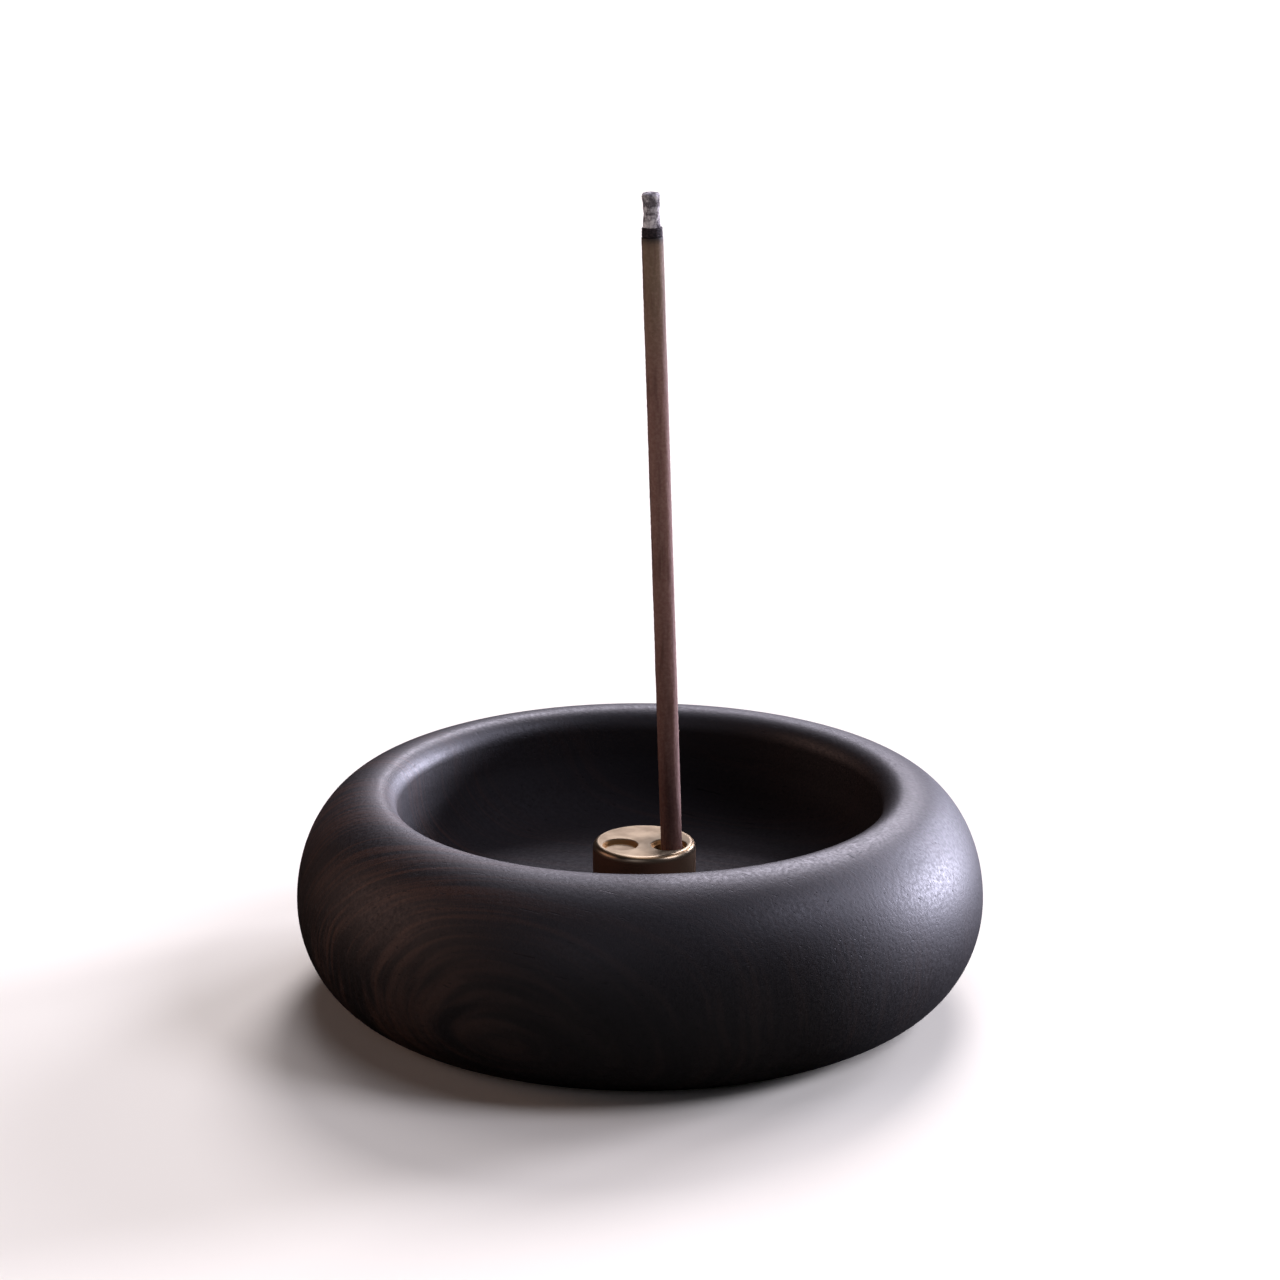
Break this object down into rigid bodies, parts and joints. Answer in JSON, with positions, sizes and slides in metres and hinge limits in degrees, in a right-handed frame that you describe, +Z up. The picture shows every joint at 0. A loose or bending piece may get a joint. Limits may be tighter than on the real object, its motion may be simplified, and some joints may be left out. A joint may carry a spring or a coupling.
{
  "type": "incense burner",
  "caption": "Round dark wooden bowl with a loose brass holder on its floor that stands an incense stick upright over the bowl, which catches the ash.",
  "frame": {"origin": "centre of the ring that the bowl stands on, at the height of the table", "axes": "+Z is up along the axis that the bowl is turned about; +X points right and -Y points to the viewer when the stick is on the holder's right side; the stick leans a little towards -X"},
  "size_m": [0.08, 0.08, 0.0952],
  "materials": {
    "dark_wood": "satin oiled, open grained",
    "brass": "machined, slightly dulled",
    "incense_paste": "matt, pressed powder",
    "charred_paste": "matt, charred",
    "ash": "matt, powdery"
  },
  "bodies": {
    "bowl": {"bowl": "dark_wood"},
    "holder": {"stick_holder": "brass"},
    "stick": {"incense_stick": "incense_paste", "ember_band": "charred_paste", "ash_tip": "ash"}
  },
  "joints": [
    {"name": "holder_lift", "type": "slide", "parent": "bowl", "child": "holder", "axis": [0, 0, 1], "range_m": [0, 0.025]},
    {"name": "stick_pull", "type": "slide", "parent": "holder", "child": "stick", "axis": [-0.0318, 0, 0.9995], "range_m": [0, 0.03]}
  ]
}
